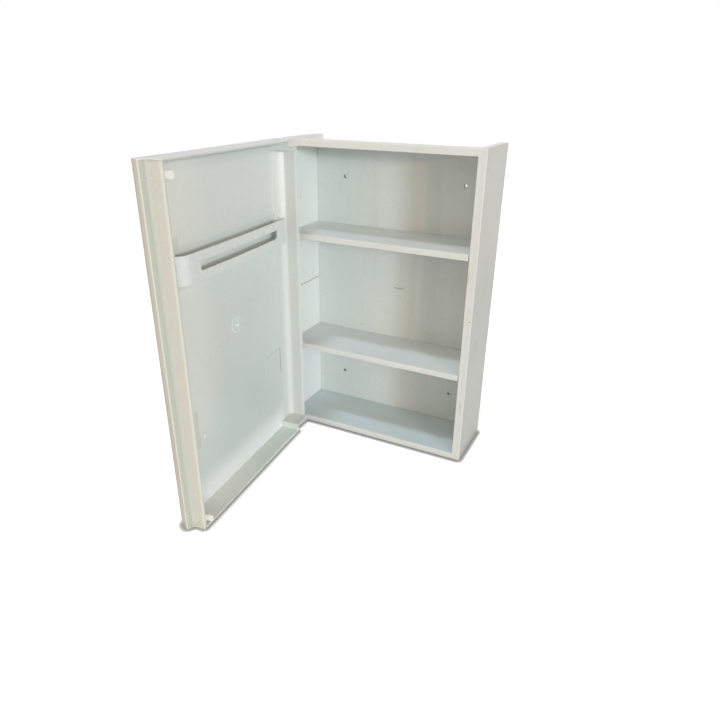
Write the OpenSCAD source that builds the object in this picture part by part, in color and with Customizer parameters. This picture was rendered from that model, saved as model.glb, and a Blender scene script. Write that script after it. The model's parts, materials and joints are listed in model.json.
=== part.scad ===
// Wall cabinet with a mirrored door, moulded in white plastic.
// The origin is the centre of the four wall-screw holes, on the plane of the wall.
// +X is to the right of someone who faces the cabinet, -Y is towards them and +Z is up.
// Turned upside down the cabinet is the same, with its door hung on the other side.

/* [Cabinet body] */
// Width over the side panels
body_w = 304; // [260:1:420]
// Height over the side panels
body_h = 460; // [400:1:640]
// Depth from the wall to the front face
body_d = 101; // [90:1:160]
// Thickness of the side panels
side_t = 3; // [2.6:0.1:4]
// Thickness of the top, bottom and back panels and of the shelves
sheet_t = 2.5; // [2.2:0.1:3]
// Thickness of the turned front edges
rim_t = 2.5; // [2.2:0.1:3.5]
// Width of the turned front edge of each side panel
side_rim_w = 12; // [11:0.5:13]
// Height of the turned front edge of the top and bottom panels
fascia_h = 10.5; // [9.5:0.1:13]
// Radius of the outer front edges
edge_r = 1.8; // [0.5:0.1:2.1]
// Radius of the edges round the opening
rim_r = 0.8; // [0.2:0.1:1]
// Distance from the wall to the back panel
back_gap = 3.3; // [2.5:0.1:6]
// Width of the turned rear edges that the back panel lies on
rear_rim_w = 8; // [7:0.5:12]
// Width of the line moulded across each side panel at mid height
mid_line_w = 1.1; // [0.5:0.1:1.5]
// Depth of the line moulded across each side panel
mid_line_depth = 0.8; // [0.2:0.1:1.2]

/* [Shelves] */
// Distance from one shelf's top to the other's
shelf_pitch = 180; // [120:1:200]
// Height of a shelf's front edge
shelf_lip_h = 9; // [8.5:0.5:16]
// Gap between a shelf's front edge and the side panels' front edges
shelf_end_gap = 1.2; // [0.4:0.1:2]
// Width of the ledges that a shelf's ends lie on
ledge_w = 8; // [7:0.5:11]
// Thickness of those ledges
ledge_t = 3; // [2:0.1:3]

/* [Wall fixing] */
// Distance between the wall holes, across
wall_hole_dx = 197; // [150:1:220]
// Distance between the wall holes, up
wall_hole_dz = 338; // [290:1:345]
// Diameter of the wall holes
wall_hole_d = 4.4; // [3.5:0.1:6]
// Diameter of the spacer round each wall hole
wall_boss_d = 13; // [9:0.5:18]

/* [Door] */
// Thickness of the door over its rims
door_t = 35; // [32:0.5:45]
// Gap between the closed door and the cabinet's front face
door_gap = 1; // [0.6:0.1:2]
// How far the closed door stands out past each side of the cabinet
door_over = 2; // [1:0.1:3]
// Wall thickness of the door frame
door_wall = 2.5; // [2:0.1:3]
// Wall thickness of the door frame on the free side
free_wall_t = 3; // [2:0.1:4]
// Radius of the door frame's corner on the hinge side
door_round = 12; // [9:0.5:14]
// Radius of the frame's rear edges
door_edge_r = 0.8; // [0.2:0.1:0.9]
// Thickness of the frame's front along the hinge side
hinge_zone_t = 4; // [3:0.1:4.4]
// Width of the frame's front border on the hinge side
border_hinge = 36; // [35:0.5:50]
// Width of the frame's front border at the top and bottom
border_end = 11; // [9:0.5:20]
// Width of the frame's front border inside the free-side wall
border_free = 9; // [6:0.5:15]
// Distance from the hinge side to the edge of the inner panel
inner_panel_edge = 25; // [20:0.5:25]
// Thickness of the inner panel
inner_panel_t = 2; // [1.8:0.1:3]

/* [Finger grip] */
// How far the grip's lip stands out past the free-side wall
grip_out = 10; // [8:0.1:13]
// How far the front face runs past the free-side wall
grip_front = 3; // [1:0.1:5]
// Distance from the door's front to the back of the grip's lip
grip_depth = 15.4; // [12:0.1:20]
// Radius of the hollow behind the lip
grip_radius = 6; // [4:0.1:7]
// Radius of the lip's tip
grip_tip_r = 1.2; // [0.8:0.1:1.6]
// How much the hollow is filled in by the plates that close its two ends
grip_plate_in = 1; // [0.3:0.1:2]
// Thickness of those end plates
grip_plate_t = 1.4; // [1:0.1:5]
// Length of the shallower stretch at each end of the hollow
grip_land_l = 21; // [10:1:60]
// How much the hollow is filled in along those stretches
grip_land_in = 0.3; // [0.1:0.1:0.8]

/* [Mirror] */
// Thickness of the mirror glass
mirror_t = 2; // [1.6:0.1:3]
// Thickness of the adhesive strips behind the mirror
strip_t = 0.4; // [0.3:0.1:0.8]
// How far the mirror lies behind the frame's front
mirror_inset = 0.1; // [0.1:0.1:0.5]
// Gap round the mirror glass
mirror_gap = 0.3; // [0.1:0.1:1]
// Width of the adhesive strips
strip_w = 18; // [10:1:30]
// Number of adhesive strips
strip_count = 4; // [2:1:6]

/* [Hinge] */
// Distance from the door's hinge side to the hinge axis
axis_in = 15; // [14:0.1:16]
// Distance from the door's front to the hinge axis
axis_back = 12; // [11.5:0.1:13]
// Opening angle at which the cabinet is set up
rest_open = 85; // [0:1:100]
// Diameter of the hinge pins
pin_d = 4; // [3:0.1:5]
// Radial clearance between a hinge pin and the door's bore
pin_play = 0.06; // [0.02:0.01:0.1]
// Radial clearance between a hinge pin and its arm
pin_seat_gap = 0.02; // [0.01:0.01:0.05]
// Diameter of a hinge pin's head
pin_head_d = 7; // [6:0.5:9]
// Thickness of a hinge pin's head
pin_head_t = 1.2; // [0.8:0.1:2]
// Vertical gap between a hinge arm and the door's pocket
arm_gap = 0.5; // [0.3:0.1:1]
// Distance from the hinge axis to the arm's left edge
arm_left = 5; // [4.5:0.1:6]
// Distance from the hinge axis to the arm's right edge
arm_right = 16.5; // [14:0.1:17]
// Distance from the hinge axis to the arm's front edge
arm_front = 7; // [5:0.1:7.2]
// Gap between an arm and the front edges on both sides of it
arm_side_gap = 0.3; // [0.1:0.1:0.6]
// Length of the arm's foot behind the front edge of the cabinet
arm_foot_l = 40; // [34:1:60]
// Distance between the two screws of an arm's foot
arm_screw_pitch = 20; // [14:1:24]
// Diameter of the bosses that those screws go into
foot_boss_d = 6; // [5:0.1:8]
// Wall thickness of the side of the door's hinge pocket
pocket_wall = 1.5; // [1.2:0.1:2]
// Thickness of the door's plate that turns on the pin
pocket_plate = 2.3; // [2:0.1:4]
// Thickness of the plate left over the end of its bore
bore_skin = 0.7; // [0.4:0.1:1]
// Gap between the arm and the side of the pocket
pocket_gap = 0.5; // [0.3:0.1:1]

/* [Catch tongues] */
// Height of a tongue
tongue_h = 9; // [8:0.5:14]
// Thickness of a tongue
tongue_t = 2.5; // [2:0.1:3]
// How far a tongue reaches past the door's rear edge
tongue_out = 9; // [6:0.5:11]
// Length of a tongue's foot on the free-side wall
tongue_foot = 10; // [8:0.5:14]
// Corner radius of a tongue's end
tongue_r = 3.9; // [2:0.1:3.9]
// Clearance above and below a tongue where it enters the cabinet
tongue_gap = 0.5; // [0.3:0.1:1]
// Clearance beside a tongue where it enters the cabinet
tongue_swing = 1.2; // [1:0.1:2]

/* [Door rack] */
// Distance from the hinge side to the rack
rack_start = 29; // [27:0.5:34]
// Distance from the rack to the door's free-side wall
rack_free_gap = 21; // [12:0.5:60]
// Height of the rack
rack_h = 35; // [28:1:50]
// Distance from the mid height of the door to the rack's floor
rack_z = 88.5; // [40:0.5:110]
// Depth of the rack at its rounded ends
rack_d = 20; // [19:0.5:22]
// How far the rack's front wall bows out in the middle
rack_bow = 2; // [0.5:0.1:5]
// Wall thickness of the rack
rack_t = 2; // [1.6:0.1:2.5]
// Outer corner radius of the rack towards the door's free side
rack_r = 17; // [6:0.5:18]
// Outer corner radius of the rack towards the hinge
rack_hinge_r = 5; // [3:0.5:10]
// Radius of the rack's lower corners
rack_foot_r = 5; // [3:0.5:8]
// Height of the window in the rack's front wall
window_h = 12; // [6:0.5:16]
// Distance from the rack's end at the hinge to its window
window_in = 28; // [12:1:50]
// Distance from the rack's other end to its window
window_free_in = 34.5; // [20:0.5:50]
// Corner radius of the window
window_r = 4; // [2:0.1:5.5]

/* [Rack slots] */
// Height of the slots that the rack hangs in
slot_h = 44; // [34:1:50]
// Height of the rack's tabs
tab_h = 26; // [16:1:30]
// Depth of the rack's tabs in the inner panel
tab_depth = 1.3; // [0.8:0.1:1.5]
// Clearance round a tab in its slot
tab_gap = 0.15; // [0.05:0.05:0.3]
// Height of the raised fields beside the slots
field_h = 55; // [48:1:64]
// Width of those fields
field_w = 47; // [30:1:70]
// Rise of the fields above the panel
field_rise = 0.4; // [0.2:0.1:0.8]
// Distance from the hinge side to the round dish in the inner panel
dish_u = 147; // [100:1:200]
// How far the dish lies below the door's mid height
dish_drop = 3; // [0:0.5:20]
// Radius of the raised ring round the dish
dish_r = 11; // [8:0.5:16]
// Radius of the dish
dish_pit_r = 7; // [5:0.5:7.5]
// Radius of the boss in the dish
dish_boss_r = 3; // [2:0.5:4]
// Depth of the dish
dish_depth = 0.6; // [0.2:0.1:0.8]
// Rise of the ring above the panel
dish_rise = 0.5; // [0.2:0.1:0.8]

/* [Screws] */
// Shank diameter of the screws
screw_d = 3; // [2.5:0.1:3.5]
// Head diameter of the screws
screw_head_d = 5.6; // [5:0.1:6]
// Head height of the screws
screw_head_h = 1.6; // [1.2:0.1:2]
// Clearance round a screw's shank and head
screw_gap = 0.05; // [0.05:0.05:0.2]
// Distance from the wall to the nearer screws of a panel or shelf
screw_in = 34; // [14:1:36]
// Distance between the two screws at one end of a panel or shelf
screw_pitch = 34; // [24:1:50]

/* [Hidden] */
$fn = 64;

shell_colour = [0.93, 0.92, 0.89];
door_colour = [0.95, 0.94, 0.92];
tongue_colour = [0.86, 0.84, 0.78];
steel_colour = [0.72, 0.72, 0.74];
mirror_colour = [0.80, 0.86, 0.90];
strip_colour = [0.55, 0.55, 0.55];

// Overshoot of cutting shapes, so that no face is left with zero thickness
cut = 1;
// Gap that keeps neighbouring panels from touching along their edges
edge_gap = 0.2;
// Plastic left over the end of a blind screw hole
skin = 1.2;
// Air between a screw's end and the end of its hole
screw_end_gap = 0.2;

// Cabinet
half_w = body_w / 2;
half_h = body_h / 2;
inner_w = half_w - side_t;
opening_w = half_w - side_rim_w;
opening_h = half_h - fascia_h;
front_y = -body_d;
behind_rim_y = front_y + rim_t;
back_y = -back_gap - sheet_t;
recess_z = opening_h + sheet_t;
recess_h = half_h - recess_z;

// Rails on the side panels and end flanges on the top and bottom panels, screwed together
rail_w = 5;
flange_t = 2.5;
flange_x = inner_w - rail_w - flange_t;
screw_y = [for (i = [0, 1]) -screw_in - i * screw_pitch];
corner_screw_l = flange_t + rail_w + side_t - skin - screw_end_gap;

// Shelves
rib_h = shelf_lip_h - sheet_t - ledge_t;
shelf_x = inner_w - edge_gap;
shelf_rear_y = back_y - edge_gap;
upper_shelf_z = (shelf_pitch + shelf_lip_h) / 2;
lower_shelf_z = upper_shelf_z - shelf_pitch;
shelf_screw_x = inner_w - ledge_w / 2;
shelf_screw_l = ledge_t + rib_h + sheet_t - skin - screw_end_gap;
shelf_tops = [upper_shelf_z, lower_shelf_z];

// Mark moulded in the middle of the back panel
dash_l = 16;
dash_w = 1.2;
dash_depth = 0.4;

// Door, drawn closed, with u across from the hinge side and v back from its front
door_w = body_w + 2 * door_over;
door_x = -half_w - door_over;
door_y = front_y - door_gap - door_t;
hinge_x = door_x + axis_in;
hinge_y = door_y + axis_back;
free_u = door_w - grip_out;
free_inner_u = free_u - free_wall_t;
border_t = mirror_t + strip_t + mirror_inset;
panel_v = border_t + inner_panel_t;
// Largest radius round the hinge axis that stays clear of the cabinet's front
swing_gap = 0.8;
swing_r = door_t + door_gap - axis_back - swing_gap;
mirror_u0 = border_hinge;
mirror_u1 = free_inner_u - border_free;
mirror_h = half_h - border_end;

// Hinge pocket and pin
pocket_z = opening_h - arm_gap;
plate_z = pocket_z - pocket_plate;
pocket_u = axis_in + arm_right + pocket_gap;
pocket_end_u = pocket_u + pocket_wall;
bore_r = pin_d / 2 + pin_play;
pin_seat_r = pin_d / 2 + pin_seat_gap;
pin_end_z = plate_z + bore_skin + edge_gap;

// Hinge arm
arm_x0 = -opening_w + arm_side_gap;
arm_x1 = hinge_x + arm_right;
arm_straight = 4;
foot_end_y = behind_rim_y + arm_foot_l;
foot_screw_in = 7;
foot_screw_x = (arm_x0 + arm_x1) / 2;
foot_screw_y = [for (i = [0, 1]) foot_end_y - foot_screw_in - i * arm_screw_pitch];
foot_web = 2;
foot_boss_h = recess_h - screw_head_h - foot_web;
arm_screw_l = foot_web + foot_boss_h + sheet_t - skin - screw_end_gap;

// Catch tongues
tongue_u = half_w + door_over + opening_w - tongue_swing;
tongue_z = opening_h - tongue_gap - tongue_h / 2;

// Rack
rack_end = free_inner_u - rack_free_gap;
rack_mid_z = rack_z + rack_h / 2;
rack_back_v = panel_v + field_rise;
rack_front_v = rack_back_v + rack_d;
field_drop = 1;
field_z = rack_mid_z - slot_h / 2 + field_drop;
slot_skin = 0.2;
// How much the radii of the dish and its ring change over their slopes
dish_slope = 2;
arc_steps = 12;
bow_steps = 20;

// A block between two corners
module block(lo, hi) {
    translate(lo) cube(hi - lo);
}

// A rectangle between two corners
module field(lo, hi) {
    translate(lo) square(hi - lo);
}

// What rounding takes off the corner `at` of a shape that lies towards `dir`
module corner_cut(at, dir, r) {
    difference() {
        translate(at + dir * (r - cut) / 2) square(r + cut, center = true);
        translate(at + dir * r) circle(r);
    }
}

// A rectangle with a radius at each corner, anticlockwise from the low one, 0 for a sharp one
module soft_field(lo, hi, radii) {
    difference() {
        field(lo, hi);
        if (radii[0] > 0) corner_cut(lo, [1, 1], radii[0]);
        if (radii[1] > 0) corner_cut([hi[0], lo[1]], [-1, 1], radii[1]);
        if (radii[2] > 0) corner_cut(hi, [-1, -1], radii[2]);
        if (radii[3] > 0) corner_cut([lo[0], hi[1]], [1, -1], radii[3]);
    }
}

// A bar along X whose profile is drawn in Y and Z
module bar_x(x0, x1) {
    translate([x0, 0, 0]) rotate([90, 0, 90]) linear_extrude(x1 - x0) children();
}

// A bar along Y whose profile is drawn in X and Z
module bar_y(y0, y1) {
    translate([0, y1, 0]) rotate([90, 0, 0]) linear_extrude(y1 - y0) children();
}

// A bar along Z whose profile is drawn in X and Y
module bar_z(z0, z1) {
    translate([0, 0, z0]) linear_extrude(z1 - z0) children();
}

// The children, and the same mirrored top to bottom
module both_ends() {
    children();
    mirror([0, 0, 1]) children();
}

// The children, and the same mirrored left to right
module both_sides() {
    children();
    mirror([1, 0, 0]) children();
}

// Points on an arc round a centre
function arc(centre, r, from, to, steps) = [
    for (i = [0:steps])
        let (a = from + (to - from) * i / steps)
            centre + r * [cos(a), sin(a)]
];

// A pan-head screw with a cross recess, its shank going down from the origin
module screw(shank_l) {
    recess_w = 0.7;
    recess_l = screw_head_d * 0.62;
    recess_depth = 0.7;
    difference() {
        union() {
            translate([0, 0, -shank_l]) cylinder(d = screw_d, h = shank_l + screw_head_h / 2);
            cylinder(d = screw_head_d, h = screw_head_h);
        }
        for (turn = [0, 90])
            rotate([0, 0, turn])
                translate([-recess_l / 2, -recess_w / 2, screw_head_h - recess_depth])
                    cube([recess_l, recess_w, recess_depth + cut]);
    }
}

// The hole for a screw's shank, going down from the origin
module screw_hole(depth) {
    translate([0, 0, -depth]) cylinder(d = screw_d + 2 * screw_gap, h = depth + cut);
}

// Puts the children at each screw of the panel ends, pointing outwards, on one side at the top
module at_corner_screws() {
    for (y = screw_y)
        translate([-flange_x, y, recess_z + edge_gap + screw_head_d / 2]) rotate([0, 90, 0]) children();
}

// Puts the children at each screw below one end of each shelf
module at_shelf_screws() {
    for (z = shelf_tops, y = screw_y)
        translate([-shelf_screw_x, y, z - shelf_lip_h]) rotate([180, 0, 0]) children();
}

// Puts the children at each screw of the upper arm's foot
module at_arm_screws() {
    for (y = foot_screw_y)
        translate([foot_screw_x, y, half_h - screw_head_h]) children();
}

// Plan of a side panel: a sheet with its front and rear edges turned in
module side_plan() {
    soft_field([-half_w, front_y], [-inner_w, 0], [edge_r, 0, 0, 0]);
    soft_field([-half_w, front_y], [-opening_w, behind_rim_y], [edge_r, 0, 0, 0]);
    field([-inner_w - cut, -back_gap], [-inner_w + rear_rim_w, 0]);
}

// A side panel, drawn as the left one
module side_panel() {
    difference() {
        union() {
            intersection() {
                bar_z(-half_h - cut, half_h + cut) side_plan();
                bar_x(-half_w - cut, -opening_w + cut)
                    soft_field([front_y, -half_h], [cut, half_h], [edge_r, 0, 0, edge_r]);
            }
            both_ends()
                block([-inner_w - cut, behind_rim_y - cut, recess_z],
                      [-inner_w + rail_w, -back_gap, half_h]);
            for (z = shelf_tops)
                block([-inner_w - cut, behind_rim_y - cut, z - shelf_lip_h],
                      [-inner_w + ledge_w, shelf_rear_y, z - shelf_lip_h + ledge_t]);
        }
        bar_z(-opening_h, opening_h) corner_cut([-opening_w, front_y], [-1, 1], rim_r);
        block([-inner_w - mid_line_depth, behind_rim_y, -mid_line_w / 2],
              [-inner_w + cut, back_y, mid_line_w / 2]);
        both_ends() at_corner_screws() screw_hole(corner_screw_l + screw_end_gap);
        at_shelf_screws() screw_hole(ledge_t + cut);
    }
}

module left_side_panel() {
    color(shell_colour) side_panel();
}

module right_side_panel() {
    color(shell_colour) mirror([1, 0, 0]) side_panel();
}

// The top panel, or mirrored the bottom one. The front edge leaves room for the hinge arm.
module end_panel() {
    rail_y = behind_rim_y + edge_gap;
    rear_y = -back_gap - edge_gap;
    rear_x = inner_w - rear_rim_w - edge_gap;
    difference() {
        union() {
            block([-shelf_x, behind_rim_y, opening_h], [shelf_x, rear_y, recess_z]);
            block([-rear_x, rear_y - cut, opening_h], [rear_x, 0, recess_z]);
            block([-rear_x, -back_gap, opening_h - rear_rim_w], [rear_x, 0, opening_h + cut]);
            bar_x(arm_x1 + arm_side_gap, opening_w)
                soft_field([front_y, opening_h], [behind_rim_y, half_h], [rim_r, 0, 0, edge_r]);
            both_sides()
                block([flange_x, rail_y, recess_z - cut], [flange_x + flange_t, rear_y, half_h]);
            for (y = foot_screw_y)
                translate([foot_screw_x, y, recess_z - cut])
                    cylinder(d = foot_boss_d, h = foot_boss_h + cut);
        }
        both_sides() at_corner_screws() screw_hole(flange_t + cut);
        at_arm_screws() screw_hole(arm_screw_l + screw_end_gap);
    }
}

module top_panel() {
    color(shell_colour) end_panel();
}

module bottom_panel() {
    color(shell_colour) mirror([0, 0, 1]) end_panel();
}

// The back panel, with a spacer behind it round each wall hole
module back_panel() {
    panel_z = opening_h - edge_gap;
    color(shell_colour)
        difference() {
            union() {
                block([-shelf_x, back_y, -panel_z], [shelf_x, -back_gap, panel_z]);
                for (x = [-1, 1], z = [-1, 1])
                    translate([x * wall_hole_dx / 2, 0, z * wall_hole_dz / 2])
                        rotate([90, 0, 0]) cylinder(d = wall_boss_d, h = back_gap + sheet_t / 2);
            }
            for (x = [-1, 1], z = [-1, 1])
                translate([x * wall_hole_dx / 2, cut, z * wall_hole_dz / 2])
                    rotate([90, 0, 0]) cylinder(d = wall_hole_d, h = cut - back_y + cut);
            block([-dash_l / 2, back_y - cut, -dash_w / 2], [dash_l / 2, back_y + dash_depth, dash_w / 2]);
        }
}

// A shelf with a turned-down front edge and a rib under each end, its top at the given height
module shelf(top_z) {
    lip_x = opening_w - shelf_end_gap;
    sheet_z = top_z - sheet_t;
    lip_z = top_z - shelf_lip_h;
    rib_y = behind_rim_y + edge_gap;
    difference() {
        union() {
            bar_x(-lip_x, lip_x)
                soft_field([front_y, lip_z], [behind_rim_y, top_z], [rim_r, 0, 0, rim_r]);
            block([-lip_x, behind_rim_y - cut, sheet_z], [lip_x, shelf_rear_y, top_z]);
            block([-shelf_x, rib_y, sheet_z], [shelf_x, shelf_rear_y, top_z]);
            both_sides()
                block([inner_w - ledge_w, rib_y, sheet_z - rib_h], [shelf_x, shelf_rear_y, sheet_z + cut]);
        }
        both_sides()
            for (y = screw_y)
                translate([-shelf_screw_x, y, lip_z]) rotate([180, 0, 0])
                    screw_hole(shelf_screw_l + screw_end_gap);
    }
}

module upper_shelf() {
    color(shell_colour) shelf(upper_shelf_z);
}

module lower_shelf() {
    color(shell_colour) shelf(lower_shelf_z);
}

module shelf_screws() {
    color(steel_colour) both_sides() at_shelf_screws() screw(shelf_screw_l);
}

module corner_screws() {
    color(steel_colour) both_ends() both_sides() at_corner_screws() screw(corner_screw_l);
}

// Plan of the upper hinge arm. In front of the hinge axis it keeps to circles round the axis,
// so that it clears the door's pocket as the door turns.
module arm_plan() {
    polygon([
        [hinge_x - arm_left, hinge_y], [arm_x1, hinge_y], [arm_x1, foot_end_y],
        [arm_x0, foot_end_y], [arm_x0, front_y - door_gap],
        [hinge_x - arm_left, hinge_y + arm_straight]
    ]);
    intersection() {
        field([hinge_x - cut, hinge_y - arm_front], [arm_x1, hinge_y + cut]);
        translate([hinge_x, hinge_y]) circle(arm_right + pocket_gap / 2);
    }
    intersection() {
        field([hinge_x - arm_left, hinge_y - arm_front], [hinge_x + cut, hinge_y + cut]);
        translate([hinge_x, hinge_y]) circle(arm_front + pocket_gap);
    }
}

// The upper hinge arm, or mirrored the lower one, with its foot in the cabinet's recess
module hinge_arm() {
    difference() {
        union() {
            bar_z(recess_z, half_h) arm_plan();
            intersection() {
                bar_z(opening_h, recess_z + cut) arm_plan();
                block([door_x, door_y, opening_h], [arm_x1 + cut, behind_rim_y, half_h]);
            }
        }
        translate([hinge_x, hinge_y, opening_h - cut]) cylinder(r = pin_seat_r, h = fascia_h);
        translate([hinge_x, hinge_y, half_h - pin_head_t])
            cylinder(d = pin_head_d + 2 * screw_gap, h = pin_head_t + cut);
        for (y = foot_screw_y)
            translate([foot_screw_x, y, recess_z - cut])
                cylinder(d = foot_boss_d + 2 * edge_gap, h = foot_boss_h + cut);
        at_arm_screws() screw_hole(foot_web + cut);
        at_arm_screws() cylinder(d = screw_head_d + 2 * edge_gap, h = screw_head_h + cut);
    }
}

module upper_hinge_arm() {
    color(shell_colour) hinge_arm();
}

module lower_hinge_arm() {
    color(shell_colour) mirror([0, 0, 1]) hinge_arm();
}

module arm_screws() {
    color(steel_colour) both_ends() at_arm_screws() screw(arm_screw_l);
}

// The upper hinge pin, or mirrored the lower one, with its head let into the arm
module hinge_pin() {
    translate([hinge_x, hinge_y, pin_end_z]) cylinder(d = pin_d, h = half_h - pin_end_z - pin_head_t / 2);
    translate([hinge_x, hinge_y, half_h - pin_head_t]) cylinder(d = pin_head_d, h = pin_head_t);
}

module upper_hinge_pin() {
    color(steel_colour) hinge_pin();
}

module lower_hinge_pin() {
    color(steel_colour) mirror([0, 0, 1]) hinge_pin();
}

// Turns what is drawn in u and v on the closed door to its place on the open door
module on_door() {
    translate([hinge_x, hinge_y, 0]) rotate([0, 0, -rest_open]) translate([-axis_in, -axis_back, 0])
        children();
}

// Outline of the door's hinge side to a given width, rounded to clear the cabinet as it turns
module hinge_outline(width) {
    difference() {
        soft_field([0, 0], [width, door_t], [door_round, 0, 0, 0]);
        difference() {
            field([-cut, axis_back], [axis_in, door_t + cut]);
            translate([axis_in, axis_back]) circle(swing_r);
        }
    }
}

// Plan of the hinge side between the two pockets: the wall, the corner and the front
module hinge_side_plan() {
    difference() {
        hinge_outline(inner_panel_edge);
        soft_field([door_wall, hinge_zone_t], [inner_panel_edge + cut, door_t + cut],
                   [door_round - door_wall, 0, 0, 0]);
    }
}

// Plan of the free-side wall with the lip of the finger grip. The hollow behind the lip is
// filled in by the given amount.
module free_side_plan(fill) {
    hollow_r = grip_radius - fill;
    hollow = [free_u + grip_radius, grip_depth + grip_radius];
    tip = [free_u + grip_out - grip_tip_r, grip_depth - 2 * grip_tip_r];
    // Bulge of the bevel between the front face and the tip
    bevel = [grip_out - grip_front, tip[1]];
    bevel_a = atan2(bevel[1], bevel[0]);
    bevel_swell = 4;
    soft_field([free_inner_u, 0], [free_u + fill, door_t], [0, 0, door_edge_r, door_edge_r]);
    difference() {
        polygon(concat(
            [[free_inner_u, 0], [free_u + grip_front, 0]],
            [for (i = [1:bevel_swell - 1])
                let (s = i / bevel_swell)
                    [free_u + grip_front, 0] + s * bevel
                        + sin(180 * s) * grip_tip_r / 2 * [sin(bevel_a), -cos(bevel_a)]],
            arc(tip, grip_tip_r, bevel_a - 90, 90, arc_steps / 2),
            [[hollow[0], grip_depth + fill], [hollow[0], hollow[1]], [free_inner_u, hollow[1]]]
        ));
        translate(hollow) circle(hollow_r);
    }
}

// Corner of the door frame with the hinge pocket, at the top
module hinge_corner() {
    difference() {
        bar_z(plate_z, half_h) hinge_outline(pocket_end_u);
        block([-cut, hinge_zone_t, pocket_z], [pocket_u, door_t + cut, half_h + cut]);
        translate([axis_in, axis_back, plate_z + bore_skin])
            cylinder(r = bore_r, h = pocket_plate - bore_skin + cut);
    }
}

module door_frame() {
    rim_z = half_h - door_wall;
    color(door_colour)
        on_door() {
            difference() {
                intersection() {
                    union() {
                        bar_z(-plate_z - cut, plate_z + cut) hinge_side_plan();
                        both_ends() hinge_corner();
                        bar_z(-half_h, half_h) free_side_plan(0);
                        both_ends() {
                            bar_z(half_h - grip_land_l, half_h) free_side_plan(grip_land_in);
                            bar_z(half_h - grip_plate_t, half_h) free_side_plan(grip_plate_in);
                        }
                        both_ends()
                            bar_x(pocket_end_u - cut / 2, free_u - cut / 2)
                                soft_field([0, rim_z], [door_t, half_h], [0, door_edge_r, door_edge_r, 0]);
                        block([inner_panel_edge - cut, 0, -half_h], [free_u - cut, border_t, half_h]);
                    }
                    bar_x(-cut, door_w + cut)
                        soft_field([0, -half_h], [door_t + cut, half_h], [edge_r, 0, 0, edge_r]);
                }
                block([mirror_u0, -cut, -mirror_h], [mirror_u1, border_t + cut, mirror_h]);
            }
        }
}

// A slot for one of the rack's tabs, with its side towards the rack's end at u
module tab_slot(u) {
    block([u - tab_gap, panel_v - tab_depth - slot_skin, rack_mid_z - slot_h / 2],
          [u + rack_t + tab_gap, rack_back_v + cut, rack_mid_z + slot_h / 2]);
}

// Puts the children at the dish's centre, at the given depth from the door's front, facing back
module at_dish(v) {
    translate([dish_u, v, -dish_drop]) rotate([-90, 0, 0]) children();
}

// The panel behind the mirror. Both ends have slots, because the door can be hung either way up.
module inner_panel() {
    panel_z = half_h - door_wall - edge_gap;
    panel_u1 = free_inner_u - edge_gap;
    color(door_colour)
        on_door() {
            difference() {
                union() {
                    block([inner_panel_edge + edge_gap, border_t, -panel_z], [panel_u1, panel_v, panel_z]);
                    both_ends() {
                        block([rack_start + field_drop, border_t + cut, field_z],
                              [rack_start + field_drop + field_w, rack_back_v, field_z + field_h]);
                        block([rack_end + 2 * field_drop - field_w / 2 - rack_t, border_t + cut, field_z],
                              [panel_u1 - field_drop, rack_back_v, field_z + field_h]);
                    }
                    at_dish(panel_v) cylinder(r1 = dish_r, r2 = dish_r - dish_slope, h = dish_rise);
                }
                both_ends() {
                    block([0, border_t - cut, plate_z - edge_gap],
                          [pocket_end_u + edge_gap, panel_v + cut, half_h]);
                    tab_slot(rack_start);
                    tab_slot(rack_end - rack_t);
                }
                at_dish(panel_v - dish_depth)
                    difference() {
                        cylinder(r1 = dish_pit_r - dish_slope / 2, r2 = dish_pit_r + dish_slope / 2,
                                 h = dish_depth + dish_rise + cut);
                        translate([0, 0, -cut])
                            cylinder(r = dish_boss_r, h = dish_depth + dish_rise + 3 * cut);
                    }
            }
        }
}

module mirror_glass() {
    color(mirror_colour)
        on_door()
            block([mirror_u0 + mirror_gap, mirror_inset, -mirror_h + mirror_gap],
                  [mirror_u1 - mirror_gap, mirror_inset + mirror_t, mirror_h - mirror_gap]);
}

// Strips of adhesive foam that hold the mirror on the inner panel
module mirror_strips() {
    strip_pitch = (mirror_u1 - mirror_u0) / strip_count;
    strip_z = mirror_h - strip_w;
    color(strip_colour)
        on_door()
            for (i = [0:strip_count - 1])
                translate([mirror_u0 + (i + 0.5) * strip_pitch - strip_w / 2, border_t - strip_t, -strip_z])
                    cube([strip_w, strip_t, 2 * strip_z]);
}

// A tongue on the free-side wall that enters the cabinet beside its front edge, at the top
module catch_tongue() {
    foot_v = door_t - tongue_foot;
    tongue_end = door_t + tongue_out;
    bar_x(tongue_u - tongue_t, tongue_u)
        soft_field([foot_v, tongue_z - tongue_h / 2], [tongue_end, tongue_z + tongue_h / 2],
                   [0, tongue_r, tongue_r, 0]);
    block([tongue_u - cut, foot_v, tongue_z - tongue_h / 2],
          [free_inner_u, door_t - door_edge_r, tongue_z + tongue_h / 2]);
}

module upper_catch_tongue() {
    color(tongue_colour) on_door() catch_tongue();
}

module lower_catch_tongue() {
    color(tongue_colour) on_door() mirror([0, 0, 1]) catch_tongue();
}

// Plan of the rack, drawn in by a given amount all round and open at the given back
function rack_points(inset, back_v) =
    let (
        hinge_r = rack_hinge_r - inset,
        free_r = rack_r - inset,
        front = rack_front_v - inset,
        u0 = rack_start + inset,
        u1 = rack_end - inset
    )
    concat(
        [[u0, back_v]],
        arc([u0 + hinge_r, front - hinge_r], hinge_r, 180, 90, arc_steps),
        [for (i = [1:bow_steps - 1])
            let (s = i / bow_steps)
                [u0 + hinge_r + s * (u1 - free_r - u0 - hinge_r), front + rack_bow * 4 * s * (1 - s)]],
        arc([u1 - free_r, front - free_r], free_r, 90, 0, arc_steps),
        [[u1, back_v]]
    );

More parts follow.
